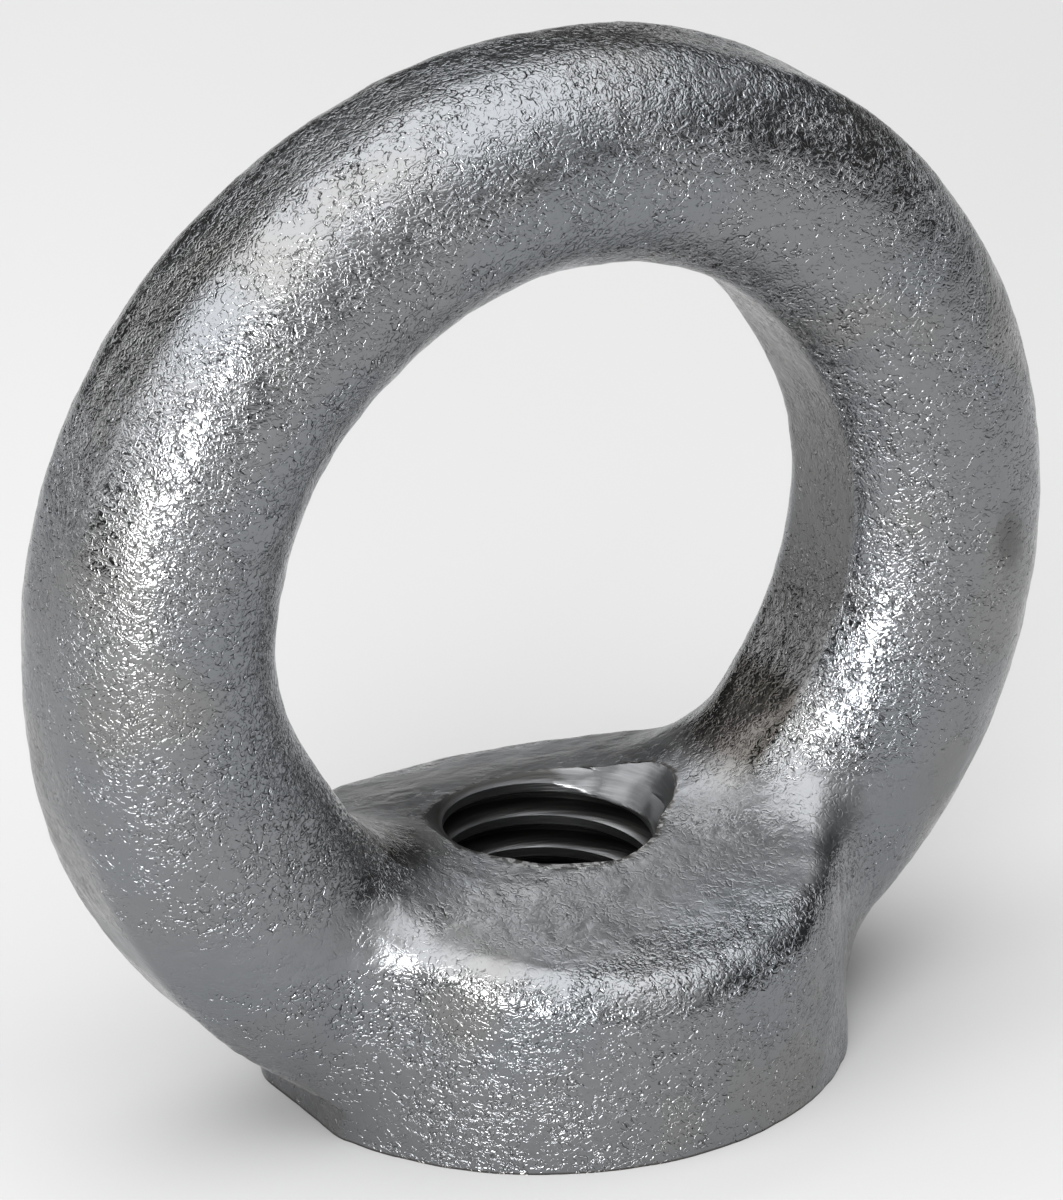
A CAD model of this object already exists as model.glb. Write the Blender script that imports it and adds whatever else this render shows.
import math

import bmesh
import bpy
import numpy as np
from mathutils import Matrix, Vector


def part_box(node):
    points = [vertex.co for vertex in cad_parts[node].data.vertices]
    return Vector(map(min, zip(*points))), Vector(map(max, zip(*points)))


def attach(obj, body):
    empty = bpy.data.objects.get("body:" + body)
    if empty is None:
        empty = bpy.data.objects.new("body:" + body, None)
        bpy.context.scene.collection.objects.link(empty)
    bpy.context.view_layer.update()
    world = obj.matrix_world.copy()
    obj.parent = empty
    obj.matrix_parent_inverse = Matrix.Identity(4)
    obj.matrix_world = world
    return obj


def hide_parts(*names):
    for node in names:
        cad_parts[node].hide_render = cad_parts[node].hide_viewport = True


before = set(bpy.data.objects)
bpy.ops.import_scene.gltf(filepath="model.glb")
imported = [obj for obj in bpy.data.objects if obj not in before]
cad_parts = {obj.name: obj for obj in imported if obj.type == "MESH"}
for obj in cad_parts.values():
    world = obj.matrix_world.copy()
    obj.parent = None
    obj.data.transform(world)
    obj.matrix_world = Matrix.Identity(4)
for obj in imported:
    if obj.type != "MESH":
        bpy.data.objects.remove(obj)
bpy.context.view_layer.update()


# The blank: a carbon steel bar bent and upset until it roughly fills the dies.
# It is one closed skin of even facets, a little bigger than the forging, and
# it reaches below the underside, which is machined off later.
MM = 0.001
cad_low, cad_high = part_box("eye_nut")
trimmed_radius = (cad_high.x - cad_low.x) / MM / 2
ring_centre_height = cad_high.z / MM - trimmed_radius
collar_radius = (cad_high.y - cad_low.y) / MM / 2
window_centre_height = ring_centre_height + 0.73
window_radius = 15.25
outer_trim = 0.34
ring_radius = trimmed_radius + outer_trim + 0.08
collar_height = 11.92
collar_draft = math.radians(1.5)
stock_below, slug_gap = 2.0, 0.5
facet_size = 0.32

blank_mesh = bpy.data.meshes.new("forged_body")
forged_body = bpy.data.objects.new("forged_body", blank_mesh)
bpy.context.scene.collection.objects.link(forged_body)

blank = bmesh.new()
stock_radius = (ring_radius - window_radius) / 2
bar_radius = (ring_radius + window_radius) / 2
around, across = 96, 32
rings = []
for i in range(around):
    turn = 2 * math.pi * i / around
    outward = Vector((math.cos(turn), 0, math.sin(turn)))
    centre = outward * bar_radius + Vector((0, 0, ring_centre_height))
    ring = []
    for j in range(across):
        a = 2 * math.pi * j / across
        aside = Vector((0, stock_radius * math.sin(a), 0))
        ring.append(blank.verts.new(centre + outward * stock_radius * math.cos(a) + aside))
    rings.append(ring)
for i, ring in enumerate(rings):
    following = rings[(i + 1) % around]
    for j in range(across):
        k = (j + 1) % across
        blank.faces.new((ring[j], ring[k], following[k], following[j]))
slug_height = collar_height + stock_below - slug_gap
bmesh.ops.create_cone(
    blank, cap_ends=True, segments=around, radius1=collar_radius, radius2=collar_radius, depth=slug_height,
    matrix=Matrix.Translation((0, 0, slug_height / 2 - stock_below)),
)
bmesh.ops.recalc_face_normals(blank, faces=blank.faces)
blank.to_mesh(blank_mesh)
blank.free()

upset = forged_body.modifiers.new("upset", "REMESH")
upset.mode = "VOXEL"
upset.voxel_size = facet_size
forged_body.data = bpy.data.meshes.new_from_object(
    forged_body.evaluated_get(bpy.context.evaluated_depsgraph_get()))
forged_body.modifiers.clear()


# The forging: steel struck between two dies that part in the ring's plane, the
# flash then trimmed outside and punched out inside. The die surface is a rule,
# under zero inside the steel, and the blank's skin is pushed onto it.
half_thickness = 5.97
thickening_below = 0.28
section_fullness = 2.16
hip_reach, hip_softness = 5.5, 2.0
front_hip_slope, back_hip_slope = math.radians(20.5), math.radians(18.2)
crown_edge_radius = 1.6
crown_tilt = 0.026
root_radius = 2.3
window_trim = 0.6
collar_trim = 0.38
burr_height, burr_width = 0.14, 0.22
burr_top, burr_fade = 9, 3
punch_floor = collar_height + 0.3
punch_corner = 4.5
trim_edge = 0.18
window_swells = {30: 0.15, 120: 0.10, 150: -0.10, 180: -0.25, 210: 0.65, 330: 0.10}
ring_swells = {0: -0.15, 30: -0.10, 60: 0.20, 90: -0.25, 120: -0.15, 180: -0.25, 210: 0.20}
swell_spread = math.radians(17)
band_margin, band_fade, punch_fade = 0.12, 0.2, 1.5
punched_loss, flashed_loss = 0.75, 0.45
blows, easing_blows, easing, longest_push = 10, (3, 5, 7), 0.6, 1.0


def swollen(x, z, swells):
    """How far the forging stands proud of its round at places given by their angles."""
    turn = np.arctan2(z, x)
    proud = 0
    for place, swell in swells.items():
        away = (turn - math.radians(place) + math.pi) % (2 * math.pi) - math.pi
        proud = proud + swell * np.exp(-(away / swell_spread) ** 2)
    return proud


def softly_highest(a, b, radius):
    """The higher of two fields, with a rounded outer corner of that radius between them."""
    both = np.hypot(np.maximum(radius + a, 0), np.maximum(radius + b, 0)) - radius
    return np.where((a > -radius) & (b > -radius), both, np.maximum(a, b))


def softly_lowest(a, b, radius):
    """The lower of two fields, with a hollow root of that radius where they meet."""
    return -softly_highest(-a, -b, radius)


def collar_side(z):
    """The drafted collar wall's radius at a height."""
    return collar_radius - z * math.tan(collar_draft)


def past_hip(y):
    """How far a place lies beyond the hip of the collar's top, with a soft start."""
    return (y - hip_reach + np.hypot(y - hip_reach, hip_softness)) / 2


def die_surface(p):
    """How far points, in millimetres, lie outside the finished forging."""
    x, y, z = p[:, 0], p[:, 1], p[:, 2]
    from_window = np.hypot(x, z - window_centre_height)
    from_ring = np.hypot(x, z - ring_centre_height)
    inner_depth = from_window - window_radius + swollen(x, z - window_centre_height, window_swells)
    outer_depth = ring_radius - from_ring + swollen(x, z - ring_centre_height, ring_swells)
    half_width = np.maximum((inner_depth + outer_depth) / 2, 0.5)
    half_height = half_thickness + thickening_below * np.clip((ring_centre_height - z) / ring_radius, -1, 1)
    across_section = np.abs((inner_depth - outer_depth) / 2 / half_width) ** section_fullness
    through_section = np.abs(y / half_height) ** section_fullness
    ring = ((across_section + through_section + 1e-12) ** (1 / section_fullness) - 1) * half_width

    wall = (np.hypot(x, y) - collar_side(z)) * math.cos(collar_draft)
    hip_slope = np.where(y < 0, front_hip_slope, back_hip_slope)
    fall = (past_hip(np.abs(y)) - past_hip(0)) * np.tan(hip_slope)
    crown = (z - collar_height + crown_tilt * x + fall) * np.cos(hip_slope)
    collar = softly_highest(wall, crown, crown_edge_radius)
    forging = softly_lowest(ring, collar, root_radius)

    collar_outline = np.maximum(np.abs(x) - collar_side(z) + collar_trim, z - collar_height)
    outline = np.minimum(from_ring - ring_radius + outer_trim, collar_outline)
    uneven = 0.5 + 0.5 * np.sin(9 * z + 5 * x) * np.sin(4 * z - 3 * y)
    low_down = np.clip((burr_top - z) / burr_fade, 0, 1)
    burr = burr_height * low_down * uneven * np.exp(-((forging - outline) / burr_width) ** 2)
    trimmed = softly_highest(forging, outline, trim_edge) - burr
    punch = softly_highest(inner_depth - window_trim, punch_floor - z, punch_corner)
    return softly_highest(trimmed, -punch, trim_edge)


def facing(p, step=0.02):
    """Which way the die surface faces at points, and how steeply its field climbs."""
    climb = np.empty_like(p)
    for axis in range(3):
        nudge = np.zeros(3)
        nudge[axis] = step
        climb[:, axis] = (die_surface(p + nudge) - die_surface(p - nudge)) / (2 * step)
    steepness = np.linalg.norm(climb, axis=1, keepdims=True)
    return climb / np.maximum(steepness, 1e-6), steepness


def read_points(mesh):
    """A mesh's points as an array."""
    points = np.empty(len(mesh.vertices) * 3, np.float32)
    mesh.vertices.foreach_get("co", points)
    return points.reshape(-1, 3).astype(float)


skin = read_points(forged_body.data)
edges = np.empty(len(forged_body.data.edges) * 2, np.int64)
forged_body.data.edges.foreach_get("vertices", edges)
edges = edges.reshape(-1, 2)
neighbours = np.bincount(edges.ravel(), minlength=len(skin))
for blow in range(blows):
    if blow in easing_blows:
        summed = np.zeros_like(skin)
        for axis in range(3):
            summed[:, axis] = (
                np.bincount(edges[:, 0], skin[edges[:, 1], axis], len(skin))
                + np.bincount(edges[:, 1], skin[edges[:, 0], axis], len(skin))
            )
        skin += easing * (summed / neighbours[:, None] - skin)
    normal, steepness = facing(skin)
    travel = die_surface(skin)[:, None] / np.maximum(steepness, 0.5)
    skin -= normal * np.clip(travel, -longest_push, longest_push)
forged_body.data.vertices.foreach_set("co", skin.astype(np.float32).ravel())
forged_body.data.update()


def blasted(p):
    """How much of the shot-blasted skin is left at points: all of it, or little where it was cut."""
    x, z = p[:, 0], p[:, 2]
    from_window = np.hypot(x, z - window_centre_height)
    inner_depth = from_window - window_radius + swollen(x, z - window_centre_height, window_swells)
    in_window = np.clip((window_trim + band_margin - inner_depth) / band_fade, 0, 1)
    punched = in_window * np.clip((z - punch_floor) / punch_fade, 0, 1)
    past_collar = np.abs(x) - collar_side(z) + collar_trim
    outside = np.minimum(np.hypot(x, z - ring_centre_height) - ring_radius + outer_trim, past_collar)
    flashed = np.clip((outside + band_margin) / band_fade, 0, 1)
    return 1 - punched_loss * punched - flashed_loss * flashed


def keep_share(mesh, label, share):
    """Keeps one number for each of a mesh's points under a name."""
    store = mesh.attributes.get(label) or mesh.attributes.new(label, "FLOAT", "POINT")
    store.data.foreach_set("value", share.astype(np.float32))


keep_share(forged_body.data, "blasted", blasted(skin))


# The bore: an M12 coarse thread cut up through the collar with a lead-in at
# each end, and the underside machined flat. A thread tool, its helix and cones
# worked out by a rule, and a face mill cut them out of the forging.
thread_diameter = 12.0
thread_pitch = 1.75
minor_diameter = 10.2
lead_in_diameter = 12.5
tool_below = 1.0
mill_width, mill_depth = 60, 6.0
merge_distance = 0.001
rim_radius, rag_scale, widest_cone = 6, 0.9, 0.56
cone_leans_to = 14
turns, steps_a_turn, rows_a_pitch = 9, 120, 16


class Dial:
    """A node socket that takes part in sums, as in 1 - mask: each sum adds a Math node."""

    def __init__(self, tree, socket):
        self.tree, self.socket = tree, socket

    @classmethod
    def fit(cls, tree, kind, settings=None, sockets=None, out=0):
        """Adds a node: its settings first, then the values or links of its sockets."""
        node = tree.nodes.new(kind)
        for name, value in (settings or {}).items():
            setattr(node, name, value)
        for name, value in (sockets or {}).items():
            if isinstance(value, Dial):
                tree.links.new(value.socket, node.inputs[name])
            else:
                node.inputs[name].default_value = value
        return cls(tree, node.outputs[out])

    def work(self, operation, *terms):
        return Dial.fit(self.tree, "ShaderNodeMath", {"operation": operation}, dict(enumerate(terms)))

    def __add__(self, other):
        return self.work("ADD", self, other)

    def __radd__(self, other):
        return self.work("ADD", other, self)

    def __sub__(self, other):
        return self.work("SUBTRACT", self, other)

    def __rsub__(self, other):
        return self.work("SUBTRACT", other, self)

    def __mul__(self, other):
        return self.work("MULTIPLY", self, other)

    def __rtruediv__(self, other):
        return self.work("DIVIDE", other, self)

    def highest(self, other):
        return self.work("MAXIMUM", self, other)

    def lowest(self, other):
        return self.work("MINIMUM", self, other)


def new_form(name, inputs):
    """A Geometry Nodes tree with named inputs, and those inputs as dials."""
    tree = bpy.data.node_groups.new(name, "GeometryNodeTree")
    for way in ("INPUT", "OUTPUT"):
        tree.interface.new_socket("Geometry", in_out=way, socket_type="NodeSocketGeometry")
    for label, value in inputs.items():
        socket = tree.interface.new_socket(label, in_out="INPUT", socket_type="NodeSocketFloat")
        socket.default_value = value
    entry = tree.nodes.new("NodeGroupInput")
    return tree, {label: Dial(tree, entry.outputs[label]) for label in ("Geometry", *inputs)}


relief_tree, relief = new_form("skin_relief", {
    "Swell": 0.09, "Swell Size": 7.0, "Dent": 0.065, "Dent Size": 2.2, "Pebble": 0.052, "Pebble Size": 0.9,
})
place = Dial.fit(relief_tree, "GeometryNodeInputPosition")
share = Dial.fit(
    relief_tree, "GeometryNodeInputNamedAttribute", {"data_type": "FLOAT"}, {"Name": "blasted"})


def unevenness(size, offset, detail):
    """Noise about zero, with features of a size in millimetres."""
    moved = Dial.fit(relief_tree, "ShaderNodeVectorMath", {"operation": "ADD"}, {0: place, 1: offset})
    noise = Dial.fit(relief_tree, "ShaderNodeTexNoise", {"noise_dimensions": "3D"}, {
        "Vector": moved, "Scale": 1 / size, "Detail": detail, "Roughness": 0.5,
    })
    return noise - 0.5


raised = (
    relief["Swell"] * unevenness(relief["Swell Size"], (3, 1, 4), 1.0) * 2
    + relief["Dent"] * unevenness(relief["Dent Size"], (15, 9, 2), 1.0) * 2 * share
    + relief["Pebble"] * unevenness(relief["Pebble Size"], (6, 5, 3), 1.0) * 2 * share
)
outward = Dial.fit(relief_tree, "GeometryNodeInputNormal")
lift = Dial.fit(relief_tree, "ShaderNodeVectorMath", {"operation": "SCALE"}, {0: outward, "Scale": raised})
lifted = Dial.fit(relief_tree, "GeometryNodeSetPosition", {}, {
    "Geometry": relief["Geometry"], "Offset": lift,
})
leaving = relief_tree.nodes.new("NodeGroupOutput")
relief_tree.links.new(lifted.socket, leaving.inputs["Geometry"])
forged_body.modifiers.new("skin", "NODES").node_group = relief_tree
forged_body.data = bpy.data.meshes.new_from_object(
    forged_body.evaluated_get(bpy.context.evaluated_depsgraph_get()))
forged_body.modifiers.clear()

tool_tree, tool_size = new_form("thread_tool", {
    "Thread Diameter": thread_diameter, "Pitch": thread_pitch, "Minor Diameter": minor_diameter,
    "Lead In Diameter": lead_in_diameter, "Collar Height": collar_height,
    "Upper Lead In": 7.3, "Upper Lead In Shift": 2.75, "Burr": 0.16, "Start Turn": 0.309,
})
strip = Dial.fit(tool_tree, "GeometryNodeMeshGrid", {}, {
    "Size X": 1.0, "Size Y": 1.0, "Vertices X": turns * steps_a_turn + 1, "Vertices Y": rows_a_pitch + 1,
})
flat = Dial.fit(tool_tree, "GeometryNodeInputPosition")
parts = Dial.fit(tool_tree, "ShaderNodeSeparateXYZ", {}, {0: flat})
wound, phase = (Dial(tool_tree, parts.socket.node.outputs[i]) + 0.5 for i in range(2))
turn = (wound * turns + tool_size["Start Turn"]) * (2 * math.pi)
pitch = tool_size["Pitch"]
height = (wound * turns + phase) * pitch - tool_below - pitch
ridge = phase.work("ABSOLUTE", phase - 0.5) * 2
sharp_height = pitch * (math.sqrt(3) / 2)
flank = tool_size["Thread Diameter"] * 0.5 + sharp_height * 0.125 - ridge * sharp_height
thread = flank.highest(tool_size["Minor Diameter"] * 0.5).lowest(tool_size["Thread Diameter"] * 0.5)
lower_cone = tool_size["Lead In Diameter"] * 0.5 - height
around_x, around_y = turn.work("COSINE", turn), turn.work("SINE", turn)
on_rim = Dial.fit(tool_tree, "ShaderNodeCombineXYZ", {}, {
    0: around_x * rim_radius, 1: around_y * rim_radius, 2: height,
})
ragged = Dial.fit(tool_tree, "ShaderNodeTexNoise", {"noise_dimensions": "3D"}, {
    "Vector": on_rim, "Scale": rag_scale, "Detail": 3.0,
})
upper_cone = (
    tool_size["Upper Lead In"] * 0.5 - tool_size["Collar Height"] + height
    + tool_size["Upper Lead In Shift"] * turn.work("COSINE", turn - math.radians(cone_leans_to))
    + (ragged - 0.5) * tool_size["Burr"] * 2
)
cut = thread.highest(lower_cone).highest(upper_cone.lowest(tool_size["Lead In Diameter"] * widest_cone))
wrapped = Dial.fit(tool_tree, "ShaderNodeCombineXYZ", {}, {0: around_x * cut, 1: around_y * cut, 2: height})
helix = Dial.fit(tool_tree, "GeometryNodeSetPosition", {}, {"Geometry": strip, "Position": wrapped})
joined = Dial.fit(tool_tree, "GeometryNodeMergeByDistance", {}, {
    "Geometry": helix, "Distance": merge_distance,
})
rim = Dial.fit(tool_tree, "GeometryNodeInputMeshEdgeNeighbors")
open_rim = Dial.fit(tool_tree, "FunctionNodeCompare", {"data_type": "INT", "operation": "EQUAL"}, {
    2: rim, 3: 1,
})
drawn = Dial.fit(tool_tree, "GeometryNodeExtrudeMesh", {"mode": "EDGES"}, {
    "Mesh": joined, "Selection": open_rim, "Offset Scale": 0.0,
})
drawn_in = Dial(tool_tree, drawn.socket.node.outputs["Top"])
here = Dial.fit(tool_tree, "GeometryNodeInputPosition")
level = Dial(tool_tree, Dial.fit(tool_tree, "ShaderNodeSeparateXYZ", {}, {0: here}).socket.node.outputs[2])
upper = level.work("GREATER_THAN", level, collar_height / 2)
tip = Dial.fit(tool_tree, "ShaderNodeCombineXYZ", {}, {
    2: upper * ((turns + 1) * thread_pitch) - tool_below - thread_pitch / 2,
})
closed = Dial.fit(tool_tree, "GeometryNodeSetPosition", {}, {
    "Geometry": drawn, "Selection": drawn_in, "Position": tip,
})
sealed = Dial.fit(tool_tree, "GeometryNodeMergeByDistance", {}, {
    "Geometry": closed, "Distance": merge_distance,
})
real = Dial.fit(tool_tree, "GeometryNodeRealizeInstances", {}, {"Geometry": sealed})
machined_zinc = bpy.data.materials.new("machined_zinc")
painted = Dial.fit(tool_tree, "GeometryNodeSetMaterial", {}, {"Geometry": real, "Material": machined_zinc})
leaving = tool_tree.nodes.new("NodeGroupOutput")
tool_tree.links.new(painted.socket, leaving.inputs["Geometry"])

tap = bpy.data.objects.new("tap", bpy.data.meshes.new("tap"))
bpy.context.scene.collection.objects.link(tap)
tap.modifiers.new("thread", "NODES").node_group = tool_tree
bpy.context.view_layer.update()
tap.data = bpy.data.meshes.new_from_object(tap.evaluated_get(bpy.context.evaluated_depsgraph_get()))
tap.modifiers.clear()
tap_shape = bmesh.new()
tap_shape.from_mesh(tap.data)
bmesh.ops.recalc_face_normals(tap_shape, faces=tap_shape.faces)
tap_shape.to_mesh(tap.data)
tap_shape.free()

facing_cut = bmesh.new()
bmesh.ops.create_cube(facing_cut, size=1.0, matrix=(
    Matrix.Translation((0, 0, -mill_depth / 2))
    @ Matrix.Diagonal((mill_width, mill_width, mill_depth, 1))))
face_mill = bpy.data.objects.new("face_mill", bpy.data.meshes.new("face_mill"))
facing_cut.to_mesh(face_mill.data)
facing_cut.free()
bpy.context.scene.collection.objects.link(face_mill)

for tool in (face_mill, tap):
    cutting = forged_body.modifiers.new(tool.name, "BOOLEAN")
    cutting.operation = "DIFFERENCE"
    cutting.solver = "MANIFOLD"
    cutting.object = tool
forged_body.data = bpy.data.meshes.new_from_object(
    forged_body.evaluated_get(bpy.context.evaluated_depsgraph_get()))
forged_body.modifiers.clear()
for tool in (face_mill, tap):
    bpy.data.objects.remove(tool)


# The finish: bright zinc plate over the shot-blasted skin, which is pebbled,
# calmer on the collar's top, darker where it was punched or trimmed and chipped
# round the bore. The bore and the underside show the tool's marks instead.
forged_zinc = bpy.data.materials.new("forged_zinc")
zinc_colour = (0.236, 0.241, 0.249, 1)
blue_film = (0.228, 0.238, 0.252, 1)
straw_film = (0.242, 0.242, 0.240, 1)
punched_colour = (0.072, 0.064, 0.057, 1)
stain_place, stain_shape = (23.4, -5.3, 14.2), (1, 1, 0.6)
grime_colour = (0.045, 0.043, 0.040, 1)
rubbed_colour = (0.40, 0.40, 0.40, 1)
stray_scale = 3.0
pebble_size, fine_size = 0.36, 0.19
waver_height, pebble_height, fine_height, top_calm = 0.034, 0.105, 0.030, 0.68
brightest, dulling, top_dulling = 0.08, 0.10, 0.22
line_height, line_brightest, line_dulling = 0.030, 0.28, 0.14
bore_reach, cut_turn, cut_depth = 7.2, 0.90, 0.2
sharp_angle = math.radians(38)


def new_finish(material):
    """An empty node tree for a material, with its object coordinates in millimetres."""
    material.use_nodes = True
    tree = material.node_tree
    tree.nodes.clear()
    metres = Dial.fit(tree, "ShaderNodeTexCoord", out=3)
    return tree, Dial.fit(
        tree, "ShaderNodeVectorMath", {"operation": "SCALE"}, {0: metres, "Scale": 1 / MM})


def mottle(tree, place, size, detail, shift=(0, 0, 0), stretch=(1, 1, 1)):
    """Noise from 0 to 1 with features of a size in millimetres."""
    moved = Dial.fit(
        tree, "ShaderNodeVectorMath", {"operation": "MULTIPLY_ADD"}, {0: place, 1: stretch, 2: shift})
    return Dial.fit(tree, "ShaderNodeTexNoise", {"noise_dimensions": "3D"}, {
        "Vector": moved, "Scale": 1 / size, "Detail": detail,
    })


def from_grain(tree, place, size):
    """How far places lie from the nearest of scattered points, in cells of a size in millimetres."""
    return Dial.fit(tree, "ShaderNodeTexVoronoi", {"feature": "F1"}, {"Vector": place, "Scale": 1 / size})


def over(tree, share, below, above):
    """One colour laid over another by a share."""
    return Dial.fit(tree, "ShaderNodeMix", {"data_type": "RGBA"}, {0: share, 6: below, 7: above}, out=2)


def between(value, low, high):
    """0 below low, 1 above high, and a smooth step between."""
    return Dial.fit(value.tree, "ShaderNodeMapRange", {"interpolation_type": "SMOOTHSTEP"}, {
        "Value": value, "From Min": low, "From Max": high,
    })


def plated(tree, colour, roughness, height):
    """The metal shader: height is the relief in millimetres."""
    bump = Dial.fit(tree, "ShaderNodeBump", {}, {"Height": height, "Distance": MM, "Strength": 1.0})
    shader = Dial.fit(tree, "ShaderNodeBsdfPrincipled", {}, {
        "Base Color": colour, "Metallic": 1.0, "Roughness": roughness, "Normal": bump,
    })
    end = tree.nodes.new("ShaderNodeOutputMaterial")
    tree.links.new(shader.socket, end.inputs["Surface"])


tree, place = new_finish(forged_zinc)
share = Dial.fit(tree, "ShaderNodeAttribute", {"attribute_name": "blasted"}, out=2)
waver = mottle(tree, place, 0.5, 0.5, shift=(3, 0, 7))
stray = Dial.fit(tree, "ShaderNodeTexNoise", {"noise_dimensions": "3D"}, {
    "Vector": place, "Scale": stray_scale, "Detail": 0.0,
}, out=1)
strayed = Dial.fit(tree, "ShaderNodeVectorMath", {"operation": "ADD"}, {0: place, 1: stray})
pebble, fine = from_grain(tree, strayed, pebble_size), from_grain(tree, strayed, fine_size)
patches = between(mottle(tree, place, 1.8, 0.5, shift=(7, 3, 3)), 0.30, 0.70)
strength = (share * 0.7 + 0.3) * (patches * 0.7 + 0.5)
parts = Dial.fit(tree, "ShaderNodeSeparateXYZ", {}, {0: place})
across_x, across_y, level = (Dial(tree, parts.socket.node.outputs[i]) for i in range(3))
on_top = between(level, 9.4, 10.4) * (1 - between(level, 12.2, 14.0))
squared, fine_squared = pebble * pebble, fine * fine
height = waver * waver_height - (
    squared * squared * pebble_height + fine_squared * fine_squared * fine_height
) * strength * (1 - on_top * top_calm)
film = over(tree, between(mottle(tree, place, 9.0, 1.0), 0.42, 0.66), zinc_colour, blue_film)
film = over(tree, between(mottle(tree, place, 7.0, 1.0, shift=(4, 8, 1)), 0.50, 0.72), film, straw_film)
torn = between(share, 0.90, 0.30)
film = over(tree, torn * 0.85, film, punched_colour)
squashed = Dial.fit(tree, "ShaderNodeVectorMath", {"operation": "MULTIPLY"}, {
    0: strayed, 1: stain_shape,
})
from_stain = Dial.fit(tree, "ShaderNodeVectorMath", {"operation": "DISTANCE"}, {
    0: squashed, 1: stain_place,
}, out=1)
film = over(tree, between(from_stain, 1.5, 0.4) * 0.5, film, grime_colour)
from_axis = across_x.work("SQRT", across_x * across_x + across_y * across_y)
lip = between(from_axis, 6.2, 5.3) * on_top
chipped = between(mottle(tree, place, 0.4, 1.0, shift=(2, 6, 4)), 0.46, 0.56)
film = over(tree, lip * chipped * 0.8, film, grime_colour)
film = over(tree, lip * (1 - chipped) * 0.6, film, rubbed_colour)
dull = between(mottle(tree, place, 2.6, 2.0, shift=(1, 2, 5)), 0.40, 0.64)
gloss = brightest + dull * dulling + on_top * top_dulling
plated(tree, film, gloss, height)

tree, place = new_finish(machined_zinc)
parts = Dial.fit(tree, "ShaderNodeSeparateXYZ", {}, {0: place})
across_x, across_y, along = (Dial(tree, parts.socket.node.outputs[i]) for i in range(3))
from_axis = across_x.work("SQRT", across_x * across_x + across_y * across_y)
lean = math.radians(cone_leans_to)
leaning = across_x * math.cos(lean) + across_y * math.sin(lean)
crescent = between(leaning, 4.0, 4.6) * between(along - from_axis, 4.6, 5.0)
groove = between(from_axis, 5.12, 5.35) * (1 - crescent) * between(along, 0.2, 0.6)
tool_lines = mottle(tree, place, 1.0, 2.0, stretch=(0.25, 0.25, 7.0))
bright_cut = over(tree, tool_lines * 0.5, zinc_colour, grime_colour)
cut_colour = over(tree, groove * 0.8, bright_cut, grime_colour)
plated(tree, cut_colour, line_brightest + tool_lines * line_dulling, tool_lines * line_height)

mesh = forged_body.data
mesh.materials.clear()
mesh.materials.append(forged_zinc)
mesh.materials.append(machined_zinc)
points = read_points(mesh)
middles = np.array([f.center for f in mesh.polygons])
normals = np.array([f.normal for f in mesh.polygons])
turned_in = (facing(middles)[0] * normals).sum(axis=1) < cut_turn
beneath_skin = die_surface(middles) < -cut_depth
in_bore = (np.hypot(middles[:, 0], middles[:, 1]) < bore_reach) & (turned_in | beneath_skin)
underneath = (middles[:, 2] < 0.01) & (normals[:, 2] < -0.9)
mesh.polygons.foreach_set("material_index", (in_bore | underneath).astype(np.int32))
mesh.vertices.foreach_set("co", (points * MM).astype(np.float32).ravel())
mesh.polygons.foreach_set("use_smooth", np.ones(len(mesh.polygons), bool))
mesh.set_sharp_from_angle(angle=sharp_angle)
mesh.update()

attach(forged_body, "root")
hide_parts("eye_nut")


# The floor: a plain pale sheet that the eye nut stands on.
floor_size = 3.0
floor_colour = (0.48, 0.48, 0.48, 1)
floor_mesh = bpy.data.meshes.new("floor")
floor_mesh.from_pydata(
    [(x * floor_size / 2, y * floor_size / 2, 0) for x, y in ((-1, -1), (1, -1), (1, 1), (-1, 1))],
    [], [(0, 1, 2, 3)])
floor = bpy.data.objects.new("floor", floor_mesh)
bpy.context.scene.collection.objects.link(floor)
paper = bpy.data.materials.new("pale_floor")
paper.use_nodes = True
paper.node_tree.nodes["Principled BSDF"].inputs["Base Color"].default_value = floor_colour
paper.node_tree.nodes["Principled BSDF"].inputs["Roughness"].default_value = 0.9
paper.node_tree.nodes["Principled BSDF"].inputs["Specular IOR Level"].default_value = 0.1
floor_mesh.materials.append(paper)


# The light: soft boxes round the object in a dim grey room. Each is placed by
# the direction it stands in, azimuth 0 being in front and 90 to the right.
aim = Vector((0, 0, 0.025))
overhead_place = Vector((-0.255, -0.045, 0.525))


def softbox(name, azimuth, elevation, distance, width, height, brightness):
    """A rectangular lamp that faces the object; its brightness is what a mirror would show."""
    a, e = math.radians(azimuth), math.radians(elevation)
    outward = Vector((math.sin(a) * math.cos(e), -math.cos(a) * math.cos(e), math.sin(e)))
    lamp = bpy.data.lights.new(name, "AREA")
    lamp.shape = "RECTANGLE"
    lamp.size, lamp.size_y = width, height
    lamp.energy = brightness * math.pi * width * height
    holder = bpy.data.objects.new(name, lamp)
    holder.location = aim + outward * distance
    holder.rotation_mode = "QUATERNION"
    holder.rotation_quaternion = outward.to_track_quat("Z", "Y")
    bpy.context.scene.collection.objects.link(holder)
    return holder


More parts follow.
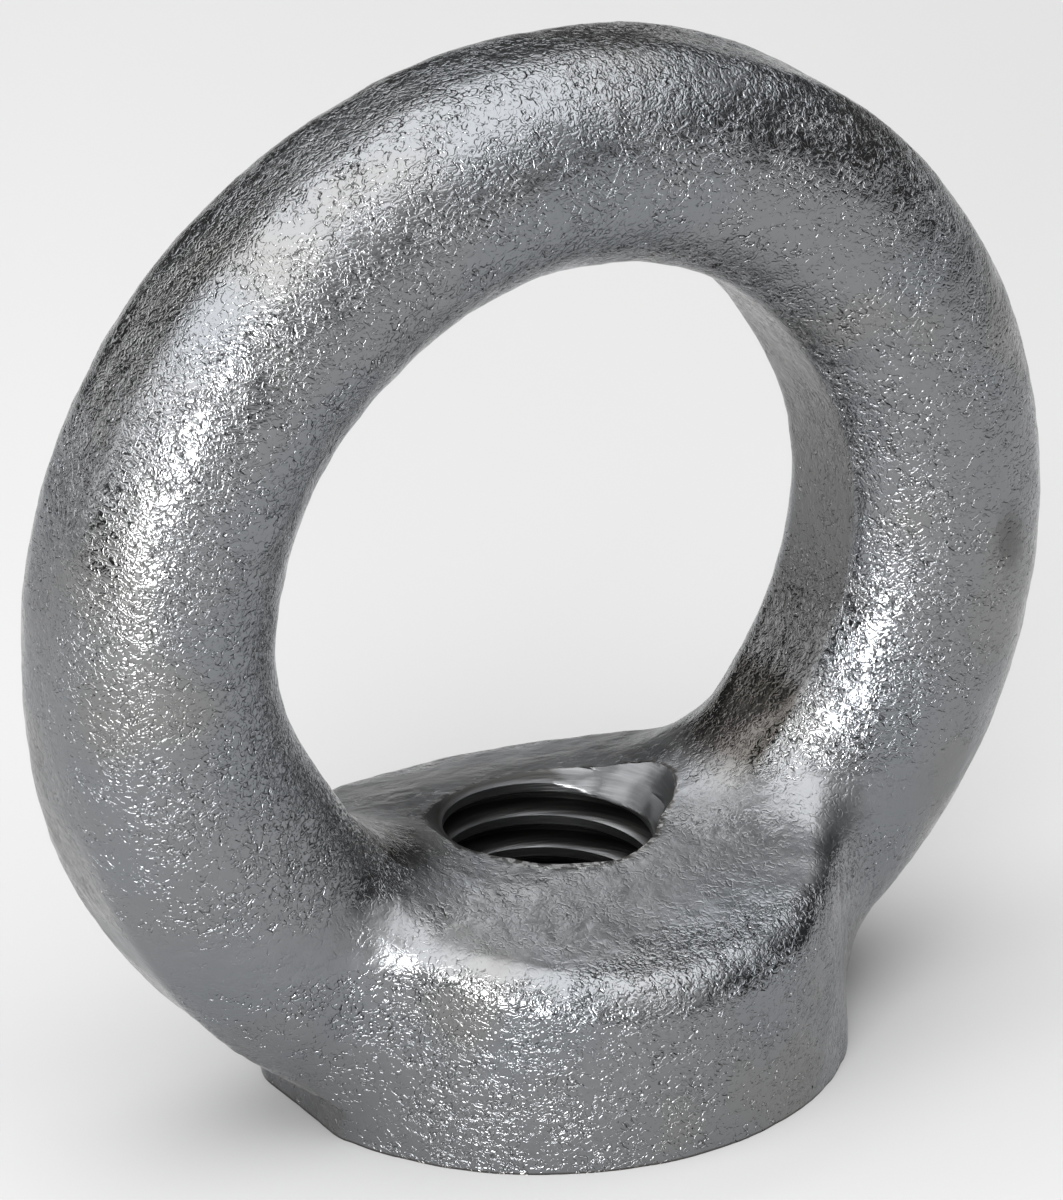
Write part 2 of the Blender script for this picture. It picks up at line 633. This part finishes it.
overhead = softbox("overhead", 0, 90, 0.50, 1.23, 0.89, 2.0)
overhead.location = overhead_place
overhead.rotation_quaternion = Vector((0, 0, 1)).to_track_quat("Z", "Y")
softbox("key", -43, 13, 0.45, 0.19, 0.16, 22.0)
softbox("back_left", -132, 18, 0.45, 0.18, 0.24, 1.8)
softbox("left_wall", -95, 30, 0.50, 0.46, 0.16, 0.9)
softbox("front_wall", 10, 24, 0.50, 0.50, 0.30, 0.60)

room_dark, room_bright = 0.08, 0.85
world = bpy.data.worlds.new("room")
bpy.context.scene.world = world
world.use_nodes = True
sky = world.node_tree
looking = Dial.fit(sky, "ShaderNodeSeparateXYZ", {}, {0: Dial.fit(sky, "ShaderNodeTexCoord")})
lightness = Dial.fit(sky, "ShaderNodeMapRange", {"interpolation_type": "SMOOTHSTEP"}, {
    "Value": Dial(sky, looking.socket.node.outputs[2]), "From Min": 0.38, "From Max": 0.80,
    "To Min": room_dark, "To Max": room_bright,
})
sky.links.new(lightness.socket, sky.nodes["Background"].inputs["Strength"])
sky.nodes["Background"].inputs["Color"].default_value = (1, 1, 1, 1)


# The camera: a long lens, a little above the ring and to its left.
azimuth, elevation, roll = (math.radians(d) for d in (-29.872, 24.360, -1.364))
distance = 0.405012
target = Vector((-0.5996, 0, 23.495)) * MM
focal_pixels, frame_height = 8490.03, 1200
back = Vector((
    math.sin(azimuth) * math.cos(elevation), -math.cos(azimuth) * math.cos(elevation), math.sin(elevation)))
right = (-back).cross(Vector((0, 0, 1))).normalized()
up = back.cross(right)
sideways = right * math.cos(roll) + up * math.sin(roll)
upwards = up * math.cos(roll) - right * math.sin(roll)
camera_data = bpy.data.cameras.new("camera")
camera_data.sensor_width = 36.0
camera_data.lens = focal_pixels / frame_height * camera_data.sensor_width
camera_data.clip_start, camera_data.clip_end = 0.01, 10.0
camera = bpy.data.objects.new("camera", camera_data)
camera.matrix_world = Matrix.Translation(target + back * distance) @ Matrix(
    (sideways, upwards, back)).transposed().to_4x4()
bpy.context.scene.collection.objects.link(camera)
bpy.context.scene.camera = camera
bpy.context.scene.view_settings.view_transform = "Standard"
